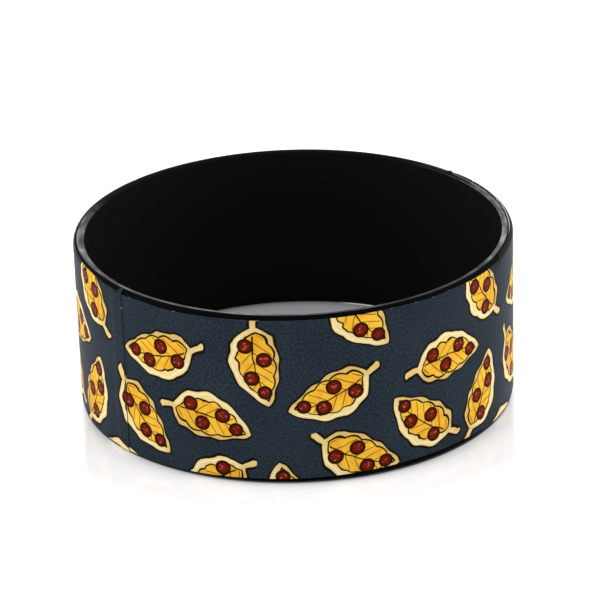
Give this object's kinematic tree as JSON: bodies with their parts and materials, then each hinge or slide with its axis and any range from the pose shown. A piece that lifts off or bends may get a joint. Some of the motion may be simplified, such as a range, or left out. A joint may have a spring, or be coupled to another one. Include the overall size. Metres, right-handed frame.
{
  "type": "rubber bracelet",
  "caption": "Wide endless rubber bracelet with rounded shoulders, wrapped outside with a thin printed film that laps over itself in an upright seam.",
  "frame": {"origin": "centre of the ring on the plane of its lower rim", "axes": "+Z along the axis of the ring, up as it lies on its side; -Y faces the camera of the picture, +X is to its right"},
  "size_m": [0.0642, 0.0642, 0.0254],
  "materials": {
    "black_rubber": "soft satin",
    "printed_film": "satin print"
  },
  "bodies": {
    "root": {"band": "black_rubber", "print_film": "printed_film"}
  },
  "joints": []
}
